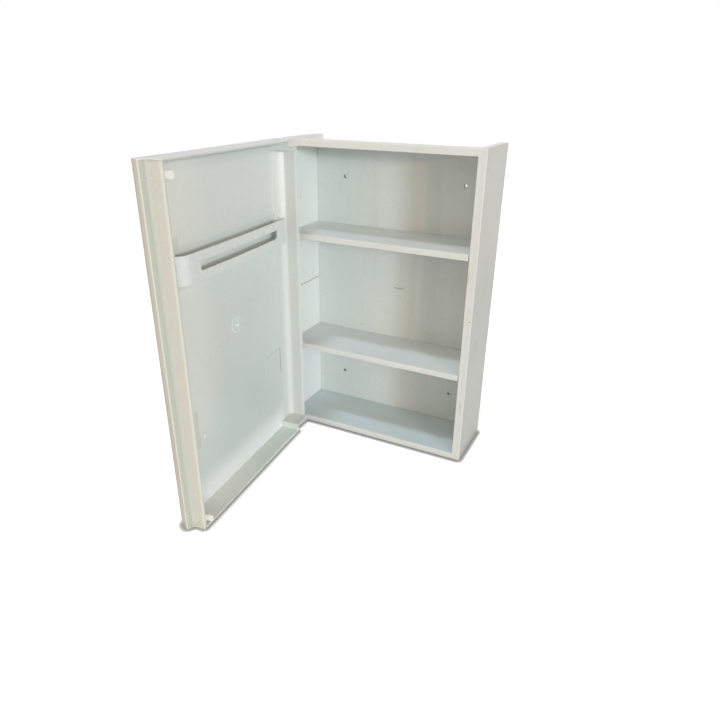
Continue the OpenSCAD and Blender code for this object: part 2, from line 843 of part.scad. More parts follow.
// The rack's form, or with an inset the hollow in it, which runs past the given top
module rack_form(inset, back_v, top_z) {
    floor_z = rack_z + inset;
    foot_r = rack_foot_r - inset;
    intersection() {
        bar_z(floor_z, top_z) polygon(rack_points(inset, back_v));
        bar_y(back_v - cut, rack_front_v + rack_bow + cut)
            soft_field([rack_start + inset, floor_z], [rack_end - inset, top_z + cut], [foot_r, foot_r, 0, 0]);
    }
}

// The rack that hangs in the inner panel's slots, open at the top and at the back
module door_rack() {
    tab_v = panel_v - tab_depth;
    color(door_colour)
        on_door() {
            difference() {
                rack_form(0, rack_back_v, rack_z + rack_h);
                rack_form(rack_t, rack_back_v - cut, rack_z + rack_h + cut);
                bar_y(rack_front_v - rack_t - cut, rack_front_v + rack_bow + cut)
                    soft_field([rack_start + window_in, rack_mid_z - window_h / 2],
                               [rack_end - window_free_in, rack_mid_z + window_h / 2],
                               [window_r, window_r, window_r, window_r]);
            }
            for (u = [rack_start, rack_end - rack_t])
                block([u, tab_v, rack_mid_z - tab_h / 2], [u + rack_t, rack_back_v + cut, rack_mid_z + tab_h / 2]);
        }
}

left_side_panel();
right_side_panel();
top_panel();
bottom_panel();
back_panel();
upper_shelf();
lower_shelf();
shelf_screws();
corner_screws();
upper_hinge_arm();
lower_hinge_arm();
arm_screws();
upper_hinge_pin();
lower_hinge_pin();
door_frame();
inner_panel();
mirror_glass();
mirror_strips();
upper_catch_tongue();
lower_catch_tongue();
door_rack();
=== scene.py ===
"""Looks of a white plastic wall cabinet with a mirrored door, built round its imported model."""
import json
import math
from collections import namedtuple

import bpy
from mathutils import Matrix, Vector


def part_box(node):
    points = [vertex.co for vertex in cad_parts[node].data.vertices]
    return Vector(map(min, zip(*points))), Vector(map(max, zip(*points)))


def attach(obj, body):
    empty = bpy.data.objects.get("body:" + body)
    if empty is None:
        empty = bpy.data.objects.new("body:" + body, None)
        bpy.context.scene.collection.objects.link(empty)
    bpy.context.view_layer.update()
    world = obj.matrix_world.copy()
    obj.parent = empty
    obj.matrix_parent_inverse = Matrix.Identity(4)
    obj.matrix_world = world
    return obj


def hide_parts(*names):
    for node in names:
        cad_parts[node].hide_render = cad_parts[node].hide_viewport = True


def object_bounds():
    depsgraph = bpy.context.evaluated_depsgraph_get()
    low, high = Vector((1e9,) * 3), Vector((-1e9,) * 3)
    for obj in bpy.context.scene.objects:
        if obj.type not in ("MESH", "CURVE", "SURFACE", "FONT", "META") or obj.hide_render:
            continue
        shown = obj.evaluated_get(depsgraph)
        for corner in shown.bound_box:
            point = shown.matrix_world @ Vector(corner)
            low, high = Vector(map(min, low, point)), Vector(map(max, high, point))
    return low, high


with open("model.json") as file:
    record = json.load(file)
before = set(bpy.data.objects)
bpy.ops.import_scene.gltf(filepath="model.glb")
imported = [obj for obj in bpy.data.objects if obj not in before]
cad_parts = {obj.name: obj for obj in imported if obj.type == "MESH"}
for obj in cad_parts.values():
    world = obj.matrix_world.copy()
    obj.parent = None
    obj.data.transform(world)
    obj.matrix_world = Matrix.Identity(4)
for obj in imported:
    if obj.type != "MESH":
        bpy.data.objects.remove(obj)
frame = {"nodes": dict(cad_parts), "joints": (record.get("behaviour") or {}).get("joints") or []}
cad_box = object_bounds()
nodes_of_model = frame["nodes"]

MM = 0.001

# The view: a camera in front and to the right, looking down at the open cabinet
IMAGE_SIZE = 720
FOCAL_PIXELS = 595.7
SENSOR_WIDTH = 36.0
SIGHT_REACH = 50
VIEW_YAW = math.radians(26.372)
VIEW_PITCH = math.radians(24.530)
VIEW_ROLL = math.radians(0.747)
VIEW_PLACE = Vector((0.3587, -0.8671, 0.2958))

# The cabinet's sizes and places, in metres
side_low, side_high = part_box("right_side_panel")
HALF_WIDTH = side_high[0]
HALF_HEIGHT = side_high[2]
BODY_DEPTH = -side_low[1]
BACK_FACE_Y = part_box("back_panel")[0][1]
WALL = 3 * MM
MID_LINE_HALF = 0.6 * MM
DASH_HALF_LENGTH = 8 * MM
DASH_HALF_HEIGHT = 0.7 * MM
WALL_HOLE_X = 98.5 * MM
WALL_HOLE_Z = 169 * MM
WALL_HOLE_RADIUS = 2.2 * MM

# The hinge's axis, and how far the door is open at rest
hinge = frame["joints"][0]
HINGE_PLACE = Vector(hinge["pos_m"])
DOOR_OPEN = math.radians(-hinge["range_deg"][0])


def closed_box(node):
    """The lowest and highest corners of a piece of the closed door, measured from the hinge."""
    turn = Matrix.Rotation(DOOR_OPEN, 3, "Z")
    corners = [turn @ (vertex.co - HINGE_PLACE) for vertex in nodes_of_model[node].data.vertices]
    return (Vector([min(parts) for parts in zip(*corners)]),
            Vector([max(parts) for parts in zip(*corners)]))


# The door's sizes and places, in metres: across from its hinge side, back from its outer face, up
door_low, door_high = closed_box("door_frame")
HINGE_ON_DOOR = Vector((-door_low.x, -door_low.y, 0))
DOOR_DEPTH = door_high.y - door_low.y
DOOR_WIDTH = 308 * MM
FREE_WALL = 3 * MM
GRIP_OUT = 10 * MM
GRIP_DEPTH = 15.4 * MM
GRIP_LAND = 21 * MM
TIP_RADIUS = 1.2 * MM
FREE_SIDE = DOOR_WIDTH - GRIP_OUT
LIP_TIP = GRIP_DEPTH - 2 * TIP_RADIUS
PANEL_FACE = 4.5 * MM
DISH = (147 * MM, -3 * MM)
DISH_RADIUS = 11 * MM
DISH_BOSS = 5.0 * MM
RACK_LOW, RACK_HIGH = (corner + HINGE_ON_DOOR for corner in closed_box("door_rack"))
RACK_WALL = 2 * MM
RACK_INSIDE = 22 * MM
RACK_LINE = (39.2 * MM, 40.0 * MM)
SLOT = RACK_LOW.x + RACK_WALL / 2
SLOT_WIDTH = 2.6 * MM
SLOT_ROW = (84 * MM, 128 * MM)
FIELD = (250.5 * MM, 294 * MM)
FIELD_ROW = (85 * MM, 140 * MM)
MIRROR_LOW, MIRROR_HIGH = (corner + HINGE_ON_DOOR for corner in closed_box("mirror_glass"))

# How far a face has to turn to count as facing one way: where that starts, and where it is whole
FACING = (0.8, 0.95)

# Rounding of the pieces that are modelled here, and the inset and rise of the nub's steps
SMOOTH_BELOW = math.radians(35)
RACK_EDGE = 0.35 * MM
GROUND_SHARE = 0.45
NUB_RADIUS = 2.4 * MM
NUB_DEPTH = 0.5 * MM
NUB_STEPS = ((0.35, 0.30), (0.55, 0.25), (0.5, 0.08), (0.25, -0.12))


def colour(red, green, blue):
    """A colour written from 0 to 255, as the shader wants it."""
    def linear(value):
        part = value / 255
        return part / 12.92 if part <= 0.04045 else ((part + 0.055) / 1.055) ** 2.4
    return (linear(red), linear(green), linear(blue), 1)


# Shader building


class Sheet:
    """Nodes of one material or group, with short calls to add and join them."""

    def __init__(self, tree):
        self.nodes = tree.nodes
        self.links = tree.links

    def add(self, kind, settings=None, **inputs):
        """Adds a node. Settings are its own values, inputs are numbers or sockets to join."""
        node = self.nodes.new(kind)
        for key, value in (settings or {}).items():
            setattr(node, key, value)
        for key, value in inputs.items():
            self.put(node.inputs[key.replace("_", " ")], value)
        return node

    def put(self, socket, value):
        """Joins a socket to another one, or sets its number or colour."""
        if isinstance(value, bpy.types.NodeSocket):
            self.links.new(value, socket)
        else:
            socket.default_value = value

    def put_in_turn(self, node, *values):
        """Joins or sets the first inputs of a node."""
        for index, value in enumerate(values):
            self.put(node.inputs[index], value)

    def maths(self, operation, *values):
        """The result of a calculation with one or two numbers."""
        node = self.add("ShaderNodeMath", {"operation": operation})
        self.put_in_turn(node, *values)
        return node.outputs[0]

    def times(self, *factors):
        """The product of two or more numbers."""
        product = factors[0]
        for factor in factors[1:]:
            product = self.maths("MULTIPLY", product, factor)
        return product

    def distance(self, beside, above):
        """The length of the step that has these two parts."""
        return self.maths("SQRT", self.maths("ADD", self.times(beside, beside), self.times(above, above)))

    def fade(self, value, low, high, start=0.0, end=1.0, how="SMOOTHSTEP"):
        """Runs from start to end as a value goes from low to high, smoothly if nothing is said."""
        node = self.add("ShaderNodeMapRange", {"interpolation_type": how})
        self.put_in_turn(node, value, low, high, start, end)
        return node.outputs[0]

    def inside(self, value, low, high, edge=0.3 * MM):
        """1 where a value is between low and high, 0 elsewhere, with soft edges."""
        rising = self.fade(value, low - edge, low + edge)
        falling = self.fade(value, high - edge, high + edge, 1.0, 0.0)
        return self.times(rising, falling)

    def between(self, share, first, second):
        """Mixes two numbers."""
        node = self.add("ShaderNodeMix", {"data_type": "FLOAT"})
        for index, value in ((0, share), (2, first), (3, second)):
            self.put(node.inputs[index], value)
        return node.outputs[0]

    def blend(self, share, first, second):
        """Mixes two colours."""
        node = self.add("ShaderNodeMix", {"data_type": "RGBA"})
        for index, value in ((0, share), (6, first), (7, second)):
            self.put(node.inputs[index], value)
        return node.outputs[2]

    def lay(self, surface, mask, share, tone):
        """Lays a tone over a surface where a mask shows, at a share of its strength."""
        return self.blend(self.times(mask, share), surface, tone)

    def noise(self, place, scale, detail=2.0, rough=0.5):
        """Cloudy noise about 0.5."""
        node = self.add("ShaderNodeTexNoise", None, Vector=place, Scale=scale, Detail=detail,
                        Roughness=rough)
        return node.outputs["Fac"]

    def split(self, place):
        """The three parts of a place or a direction."""
        return list(self.add("ShaderNodeSeparateXYZ", None, Vector=place).outputs)

    def moved(self, place, location=(0, 0, 0), rotation=(0, 0, 0), scale=(1, 1, 1)):
        """Coordinates after a shift, turn and stretch."""
        node = self.add("ShaderNodeMapping", None, Vector=place, Location=location,
                        Rotation=rotation, Scale=scale)
        return node.outputs[0]

    def effect(self, name, **inputs):
        """Places a shared effect and returns its outputs."""
        node = self.nodes.new("ShaderNodeGroup")
        node.node_tree = EFFECTS[name]
        for key, value in inputs.items():
            self.put(node.inputs[key.replace("_", " ")], value)
        return node.outputs


def start_group(name, inputs, outputs):
    """Starts a shared effect. An input has its first number, or None if it is a place."""
    group = bpy.data.node_groups.new(name, "ShaderNodeTree")
    for socket_name, value in inputs.items():
        kind = "NodeSocketVector" if value is None else "NodeSocketFloat"
        socket = group.interface.new_socket(name=socket_name, in_out="INPUT", socket_type=kind)
        if value is not None:
            socket.default_value = value
    for socket_name, kind in outputs.items():
        group.interface.new_socket(name=socket_name, in_out="OUTPUT", socket_type="NodeSocket" + kind)
    sheet = Sheet(group)
    given = sheet.add("NodeGroupInput").outputs
    result = sheet.add("NodeGroupOutput").inputs
    return group, sheet, given, result


def make_mottle():
    """Slow cloudy changes of tone, with fine clouds inside them."""
    group, sheet, given, result = start_group(
        "mottle", {"Place": None, "Size": 13.0, "Fine size": 7.0, "Fine share": 0.3}, {"Mask": "Float"})
    coarse = sheet.noise(given["Place"], given["Size"], 3, 0.55)
    fine = sheet.noise(given["Place"], sheet.times(given["Size"], given["Fine size"]), 2, 0.6)
    cloud = sheet.between(given["Fine share"], coarse, fine)
    sheet.put(result["Mask"], sheet.fade(cloud, 0.32, 0.68))
    return group


def make_moulded_skin():
    """The skin that a spark-eroded mould leaves: fine grain on a slightly wavy sheet."""
    group, sheet, given, result = start_group(
        "moulded_skin", {"Place": None, "Grain": 900.0, "Wave": 14.0, "Wave share": 0.6},
        {"Height": "Float"})
    grain = sheet.noise(given["Place"], given["Grain"], 2, 0.6)
    wave = sheet.noise(given["Place"], given["Wave"], 1, 0.4)
    sheet.put(result["Height"], sheet.between(given["Wave share"], grain, wave))
    return group


# The turn, stretch and size of the noise that each set of hairlines comes from
HAIRLINES = ((0.5, (14, 2, 1), 55), (-0.9, (1, 2, 16), 48))


def make_scuffs():
    """Faint rubbed patches and short hairlines in two directions."""
    group, sheet, given, result = start_group(
        "scuffs", {"Place": None, "Amount": 0.5, "Patch share": 0.55}, {"Mask": "Float"})
    area = sheet.fade(sheet.noise(given["Place"], 16, 2, 0.5), 0.52, 0.74)
    patches = sheet.fade(sheet.noise(given["Place"], 90, 3, 0.65), 0.42, 0.72)
    total = sheet.times(area, patches, given["Patch share"])
    for turn, stretch, size in HAIRLINES:
        place = sheet.moved(given["Place"], rotation=(turn, turn * 0.3, 0), scale=stretch)
        line = sheet.fade(sheet.noise(place, size, 1, 0.5), 0.70, 0.80)
        total = sheet.maths("MAXIMUM", total, sheet.times(line, area))
    sheet.put(result["Mask"], sheet.times(total, given["Amount"]))
    return group


def make_specks():
    """Scattered dots of dust, each in a cell of its own, with most cells bare."""
    group, sheet, given, result = start_group(
        "specks", {"Place": None, "Density": 55.0, "Radius": 0.03, "Bare share": 0.82},
        {"Mask": "Float"})
    cell = sheet.add("ShaderNodeTexVoronoi", None, Vector=given["Place"], Scale=given["Density"])
    dot = sheet.maths("LESS_THAN", cell.outputs["Distance"], given["Radius"])
    chosen = sheet.add("ShaderNodeSeparateColor", None, Color=cell.outputs["Color"])
    rare = sheet.maths("GREATER_THAN", chosen.outputs["Red"], given["Bare share"])
    sheet.put(result["Mask"], sheet.times(dot, rare))
    return group


def make_rounded_edges():
    """Softened normals at edges, and a mask of the edges that stand out, which get rubbed and take a
    painted highlight.
    """
    group, sheet, given, result = start_group(
        "rounded_edges", {"Radius": 0.6 * MM}, {"Normal": "Vector", "Edge": "Float"})
    bevel = sheet.add("ShaderNodeBevel", {"samples": 6}, Radius=given["Radius"])
    flat = sheet.add("ShaderNodeNewGeometry").outputs["True Normal"]
    dot = sheet.add("ShaderNodeVectorMath", {"operation": "DOT_PRODUCT"})
    sheet.put_in_turn(dot, bevel.outputs[0], flat)
    turned = sheet.fade(dot.outputs["Value"], 0.995, 0.86)
    inner = sheet.add("ShaderNodeAmbientOcclusion", {"samples": 6}, Distance=given["Radius"])
    standing = sheet.fade(inner.outputs["AO"], 0.80, 0.96)
    sheet.put(result["Normal"], bevel.outputs[0])
    sheet.put(result["Edge"], sheet.times(turned, standing))
    return group


def make_crevice_dust_and_shade():
    """Dust that settles where two walls meet, which is also painted shade: darker where surfaces are
    close.
    """
    group, sheet, given, result = start_group(
        "crevice_dust_and_shade", {"Place": None, "Reach": 4 * MM}, {"Mask": "Float"})
    nearby = sheet.add("ShaderNodeAmbientOcclusion", {"samples": 8}, Distance=given["Reach"])
    closed = sheet.fade(nearby.outputs["AO"], 0.72, 0.30)
    broken = sheet.fade(sheet.noise(given["Place"], 70, 3, 0.6), 0.25, 0.70, 0.2, 1.0)
    sheet.put(result["Mask"], sheet.times(closed, broken))
    return group


def make_grain():
    """Small uneven changes of tone, as on plastic that has been wiped for years."""
    group, sheet, given, result = start_group("grain", {"Place": None, "Size": 240.0}, {"Mask": "Float"})
    fine = sheet.noise(given["Place"], given["Size"], 4, 0.7)
    sheet.put(result["Mask"], sheet.fade(fine, 0.30, 0.70))
    return group


def make_short_mark():
    """A mark with an uneven outline about the middle of its coordinates, long in X, thin in Z."""
    group, sheet, given, result = start_group(
        "short_mark", {"Place": None, "Half length": 10 * MM, "Half width": 0.6 * MM,
                       "Softness": 0.5, "Reach": 2 * MM, "Wobble": 1.6}, {"Mask": "Float"})
    along, deep, across = sheet.split(given["Place"])
    uneven = sheet.maths("SUBTRACT", sheet.noise(given["Place"], 160), 0.5)
    wobble = sheet.times(uneven, sheet.times(given["Half width"], given["Wobble"]))
    along = sheet.maths("DIVIDE", along, given["Half length"])
    across = sheet.maths("DIVIDE", sheet.maths("ADD", across, wobble), given["Half width"])
    core = sheet.maths("SUBTRACT", 1.0, given["Softness"])
    mask = sheet.fade(sheet.distance(along, across), core, 1.05, 1.0, 0.0)
    near = sheet.maths("LESS_THAN", sheet.maths("ABSOLUTE", deep), given["Reach"])
    sheet.put(result["Mask"], sheet.times(mask, near))
    return group


def make_door_place():
    """Places on the door as it is when closed: X across from the hinge side, Y back, Z up."""
    group, sheet, _, result = start_group("door_place", {}, {"Place": "Vector"})
    source = sheet.add("ShaderNodeTexCoord").outputs["Object"]
    centred = sheet.moved(source, location=-HINGE_PLACE)
    turned = sheet.moved(centred, rotation=(0, 0, DOOR_OPEN))
    sheet.put(result["Place"], sheet.moved(turned, location=HINGE_ON_DOOR))
    return group


EFFECTS = {
    "mottle": make_mottle(),
    "skin": make_moulded_skin(),
    "scuffs": make_scuffs(),
    "specks": make_specks(),
    "edges": make_rounded_edges(),
    "dust_and_shade": make_crevice_dust_and_shade(),
    "grain": make_grain(),
    "mark": make_short_mark(),
    "door": make_door_place(),
}


def start_material(name, rough):
    """A material with its shader and the coordinates of the object it is on."""
    material = bpy.data.materials.new(name)
    material.use_nodes = True
    sheet = Sheet(material.node_tree)
    shader = sheet.nodes["Principled BSDF"]
    shader.inputs["Roughness"].default_value = rough
    place = sheet.add("ShaderNodeTexCoord").outputs["Object"]
    return material, sheet, shader, place


# Moulded plastic, its wear, its marks and its painted light and shade

GRAIN_SHARE, GRAIN_TONE = 0.055, colour(120, 122, 112)
# Dust where walls meet, which is also painted shade
DUST_AND_SHADE_TONE = colour(120, 112, 96)
SCUFF_SHARE, SCUFF_TONE = 0.22, colour(158, 156, 146)
# Rubbed edges, which are also a painted highlight
RUBBED_AND_HIGHLIGHT_TONE = colour(246, 243, 232)
SPECK_SHARE, SPECK_TONE = 0.45, colour(120, 112, 98)

# A stain or scratch: its centre, its turns about Z and Y in degrees, its sizes and its look
Mark = namedtuple("Mark", "centre turns half_length half_width softness strength tone")


def moulded_plastic(name, tones, rough=0.34, scuff=0.5, dust_and_shade=0.16, edge_radius=0.6 * MM, rub_and_highlight=0.4,
                    areas=None, marks=()):
    """White moulded plastic: uneven tone, grain, rubbed edges with a painted highlight, scuffs, and dust
    that is also painted shade where walls meet.
    Areas are the call that draws the masks of areas with a tone of their own, and their tones."""
    material, sheet, shader, place = start_material(name, rough)
    mottle = sheet.effect("mottle", Place=place)["Mask"]
    surface = sheet.blend(mottle, *tones)
    if areas:
        draw_masks, area_tones = areas
        masks = draw_masks(sheet, place)
        for area, (share, tone) in area_tones.items():
            surface = sheet.lay(surface, masks[area], share, tone)
    grain = sheet.effect("grain", Place=place)["Mask"]
    dust = sheet.effect("dust_and_shade", Place=place)["Mask"]
    scuffs = sheet.effect("scuffs", Place=place, Amount=scuff)["Mask"]
    edges = sheet.effect("edges", Radius=edge_radius)
    specks = sheet.effect("specks", Place=place)["Mask"]
    surface = sheet.lay(surface, grain, GRAIN_SHARE, GRAIN_TONE)
    # Dust, and painted shade, where surfaces are close together
    surface = sheet.lay(surface, dust, dust_and_shade, DUST_AND_SHADE_TONE)
    surface = sheet.lay(surface, scuffs, SCUFF_SHARE, SCUFF_TONE)
    # Edges lighter where rubbed, and as a painted highlight
    surface = sheet.lay(surface, edges["Edge"], rub_and_highlight, RUBBED_AND_HIGHLIGHT_TONE)
    surface = sheet.lay(surface, specks, SPECK_SHARE, SPECK_TONE)
    sheet.put(shader.inputs["Base Color"], stained(sheet, place, surface, marks))
    uneven = sheet.fade(mottle, 0.0, 1.0, rough - 0.03, rough + 0.04)
    for mask, change in ((scuffs, 0.18), (dust, 0.2), (edges["Edge"], -0.08)):
        uneven = sheet.maths("ADD", uneven, sheet.times(mask, change))
    sheet.put(shader.inputs["Roughness"], uneven)
    height = sheet.effect("skin", Place=place)["Height"]
    bump = sheet.add("ShaderNodeBump", None, Strength=0.30, Distance=0.4 * MM, Height=height,
                     Normal=edges["Normal"])
    sheet.put(shader.inputs["Normal"], bump.outputs[0])
    return material


def stained(sheet, place, surface, marks):
    """Adds stains and scratches to a surface."""
    for mark in marks:
        centred = sheet.moved(place, location=[-part for part in mark.centre])
        local = sheet.moved(centred, rotation=(0, 0, math.radians(mark.turns[0])))
        local = sheet.moved(local, rotation=(0, math.radians(mark.turns[1]), 0))
        mask = sheet.effect("mark", Place=local, Half_length=mark.half_length,
                            Half_width=mark.half_width, Softness=mark.softness)["Mask"]
        surface = sheet.lay(surface, mask, mark.strength, mark.tone)
    return surface


# The areas of each moulding that have a tone of their own, many of them painted light or shade, each with
# its share, in painting order

CABINET_TONES = {
    # Painted shade and light on faces that look up, on the shelves and the cabinet's floor
    "tops": (1.0, colour(228, 231, 232)),
    "right_tops": (1.0, colour(235, 238, 237)),
    "bottom_top": (1.0, colour(219, 228, 231)),
    # Painted shade on the outer faces, darker towards the bottom
    "outer": (1.0, colour(208, 206, 202)),
    "lower_outer": (1.0, colour(196, 196, 192)),
    # Painted light on the forward faces of the upper lips
    "upper_lip": (1.0, colour(247, 250, 253)),
    "front": (1.0, colour(232, 230, 230)),
    "right_rim": (0.4, colour(220, 218, 219)),
    "front_clouds": (0.5, colour(231, 225, 217)),
    "mid_line": (0.75, colour(130, 134, 128)),
}


def cabinet_masks(sheet, place):
    """Painted shade and light on the faces that look up, painted shade on the outer faces that deepens
    towards the bottom, painted light on the forward faces of the upper lips, the front rims and the mid
    line.
    """
    across, back, up = sheet.split(place)
    away = sheet.maths("ABSOLUTE", across)
    facing = sheet.split(sheet.add("ShaderNodeNewGeometry").outputs["True Normal"])
    cloud = sheet.effect("mottle", Place=place, Size=9.0)["Mask"]
    tops = sheet.fade(facing[2], *FACING)
    forward = sheet.fade(facing[1], -FACING[0], -FACING[1])
    outer = sheet.fade(away, HALF_WIDTH - 0.7 * WALL, HALF_WIDTH - 0.3 * WALL)
    front = sheet.fade(back, -BODY_DEPTH + 1.9 * MM, -BODY_DEPTH + 0.7 * MM)
    past_flange = sheet.maths("GREATER_THAN", away, HALF_WIDTH - 1.6 * WALL)
    short_of_outside = sheet.maths("LESS_THAN", away, HALF_WIDTH - 0.5 * WALL)
    before_back = sheet.maths("LESS_THAN", back, BACK_FACE_Y)
    half_way = sheet.inside(up, -MID_LINE_HALF, MID_LINE_HALF, 0.1 * MM)
    return {
        # Painted light and shade on faces that look up, on the outer faces and on forward faces
        "tops": tops,
        "right_tops": sheet.times(tops, sheet.fade(across, 0.0, 100 * MM)),
        "bottom_top": sheet.times(tops, sheet.fade(up, -190 * MM, -210 * MM)),
        "outer": outer,
        "lower_outer": sheet.times(outer, sheet.fade(up, 150 * MM, 0.0)),
        "upper_lip": sheet.times(forward, sheet.fade(up, 20 * MM, 60 * MM)),
        "front": front,
        "right_rim": sheet.times(front, sheet.fade(across, 143 * MM, 147 * MM)),
        "front_clouds": sheet.times(front, cloud),
        "mid_line": sheet.times(half_way, short_of_outside, past_flange, before_back),
    }


BACK_TONES = {
    # Painted light: the left part lighter and bluer
    "left": (0.6, colour(217, 227, 224)),
    "streaks": (0.35, colour(207, 211, 206)),
    "dash": (0.75, colour(120, 122, 114)),
    "hole_rings": (0.22, colour(150, 146, 134)),
    # Painted shade inside the wall holes
    "bore_shade": (0.8, colour(92, 92, 88)),
}


def back_masks(sheet, place):
    """The back panel's dash and upright streaks, painted light on its left part, painted shade inside the
    wall holes and a darker ring round each.
    """
    across, back, up = sheet.split(place)
    beside = sheet.maths("SUBTRACT", sheet.maths("ABSOLUTE", across), WALL_HOLE_X)
    above = sheet.maths("SUBTRACT", sheet.maths("ABSOLUTE", up), WALL_HOLE_Z)
    past_bore = sheet.maths("SUBTRACT", sheet.distance(beside, above), WALL_HOLE_RADIUS)
    upright = sheet.noise(sheet.moved(place, scale=(1, 1, 0.06)), 55, 3, 0.6)
    dash_length = sheet.inside(across, -DASH_HALF_LENGTH, DASH_HALF_LENGTH, 0.4 * MM)
    dash_height = sheet.inside(up, -DASH_HALF_HEIGHT, DASH_HALF_HEIGHT, 0.1 * MM)
    on_front = sheet.maths("LESS_THAN", back, BACK_FACE_Y + 1.2 * MM)
    return {
        # Painted light on the left part
        "left": sheet.fade(across, -110 * MM, -20 * MM, 1.0, 0.0),
        "streaks": sheet.fade(upright, 0.45, 0.75),
        "dash": sheet.times(dash_length, dash_height, on_front),
        "hole_rings": sheet.fade(past_bore, 0.2 * MM, 2.8 * MM, 1.0, 0.0),
        "bore_shade": sheet.fade(past_bore, 0.1 * MM, 0.5 * MM, 1.0, 0.0),
    }


FRAME_TONES = {
    # Painted light on the upper hinge side and the low rim, brightest towards the free side
    "upper_hinge": (1.0, colour(246, 245, 243)),
    "low_rim": (1.0, colour(235, 244, 241)),
    "toward_free": (1.0, colour(255, 255, 252)),
    # Painted highlight along the low rim's outer edge
    "rim_highlight": (0.9, colour(255, 255, 255)),
    # Painted shade on the hinge wall
    "hinge_wall": (1.0, colour(219, 220, 219)),
    # Painted highlight along the hinge edge
    "hinge_edge_highlight": (1.0, colour(231, 236, 235)),
    "past_tip": (1.0, colour(221, 214, 206)),
    "past_tip_clouds": (0.4, colour(217, 212, 199)),
    # Painted shade in the grip's cove and on the lip's bevel, darker at its outer edge and towards the
    # bottom
    "hollow": (0.85, colour(202, 204, 194)),
    "bevel": (1.0, colour(218, 207, 198)),
    "outermost_shade": (1.0, colour(188, 174, 165)),
    "low_bevel_shade": (0.8, colour(204, 192, 182)),
    # Painted highlights on the lip's crest, the rear edge, the grip's end caps and the land lines
    "tip": (0.9, colour(240, 233, 221)),
    "rear_edge_highlight": (0.6, colour(239, 236, 228)),
    "ends": (0.8, colour(248, 244, 234)),
    "land_highlights": (0.5, colour(238, 233, 222)),
}


def frame_masks(sheet, place):
    """The door frame: the free side and its grip yellowed by hands; painted shade on the hinge wall, in
    the grip's cove and on the lip's bevel; painted light on the upper hinge side and the low rim; painted
    highlights along the rim's edge, the hinge edge, the lip's crest, the rear edge and the grip's end
    caps.
    """
    across, back, up = sheet.split(sheet.effect("door")["Place"])
    height = sheet.maths("ABSOLUTE", up)
    cloud = sheet.effect("mottle", Place=place, Size=7.0)["Mask"]
    free_inner = FREE_SIDE - FREE_WALL
    grip_end = HALF_HEIGHT - GRIP_LAND
    free = sheet.fade(across, free_inner - 0.4 * MM, free_inner + 0.4 * MM)
    past_tip = sheet.times(free, sheet.fade(back, LIP_TIP, LIP_TIP + 1.4 * MM))
    bevel = sheet.times(free, sheet.fade(back, LIP_TIP - 1.4 * MM, LIP_TIP - 0.8 * MM, 1.0, 0.0))
    before_tip = sheet.times(free, sheet.fade(back, LIP_TIP + MM, LIP_TIP))
    on_tip = sheet.inside(back, LIP_TIP - 0.9 * MM, LIP_TIP + 0.9 * MM)
    hinge_wall = sheet.times(sheet.fade(across, 3.2 * MM, 2.7 * MM), sheet.fade(back, 5 * MM, 9 * MM))
    low_rim = sheet.fade(up, -HALF_HEIGHT + 3.5 * MM, -HALF_HEIGHT + 2.6 * MM)
    above_hinge = sheet.fade(up, 60 * MM, 190 * MM)
    at_grip_end = sheet.inside(height, grip_end - 0.4 * MM, grip_end + 0.4 * MM)
    at_door_end = sheet.fade(height, HALF_HEIGHT - 1.0 * MM, HALF_HEIGHT - 0.4 * MM)
    return {
        # Apart from the yellowed grip, these are painted light, shade and highlights
        "upper_hinge": sheet.times(above_hinge, sheet.fade(across, 30 * MM, 24 * MM)),
        "low_rim": low_rim,
        "toward_free": sheet.times(low_rim, sheet.fade(across, 100 * MM, 240 * MM)),
        "rim_highlight": sheet.times(low_rim, sheet.fade(back, DOOR_DEPTH - 4.5 * MM, DOOR_DEPTH - 3 * MM)),
        "hinge_wall": hinge_wall,
        "hinge_edge_highlight": sheet.times(hinge_wall, sheet.fade(back, 25 * MM, 29 * MM)),
        "past_tip": past_tip,
        "past_tip_clouds": sheet.times(past_tip, cloud),
        "hollow": sheet.times(past_tip, sheet.fade(back, GRIP_DEPTH, GRIP_DEPTH + 8 * MM, 1.0, 0.0)),
        "bevel": bevel,
        "outermost_shade": sheet.times(bevel, sheet.fade(back, MM, 7 * MM, 1.0, 0.0)),
        "low_bevel_shade": sheet.times(before_tip, sheet.fade(up, 0.0, -150 * MM)),
        "tip": sheet.times(free, on_tip),
        "rear_edge_highlight": sheet.times(free, sheet.fade(back, DOOR_DEPTH - 4.5 * MM, DOOR_DEPTH - 2 * MM)),
        "ends": sheet.times(free, at_door_end),
        "land_highlights": sheet.times(past_tip, at_grip_end),
    }


PANEL_TONES = {
    # Painted light and shade: lighter towards the top, the free side and the hinge, darker below
    "upper": (1.0, colour(237, 240, 239)),
    "lower": (1.0, colour(215, 225, 222)),
    "free": (1.0, colour(243, 244, 240)),
    "upper_free": (0.5, colour(250, 249, 243)),
    "beside_hinge": (1.0, colour(247, 247, 244)),
    # Painted light in a band above the bottom rim
    "wiped": (1.0, colour(253, 255, 255)),
    # Painted shade under the top rim
    "shade_under_rim": (1.0, colour(206, 206, 200)),
    # Painted shade behind the rack, and a painted shadow under it
    "shade_behind_rack": (0.35, colour(178, 188, 187)),
    "shadow_under_rack": (0.3, colour(186, 192, 188)),
    "fields": (0.6, colour(222, 220, 198)),
    # Painted highlight on the dish's ring
    "dish_ring_highlight": (0.6, colour(253, 254, 253)),
    "slots": (1.0, colour(150, 112, 98)),
}


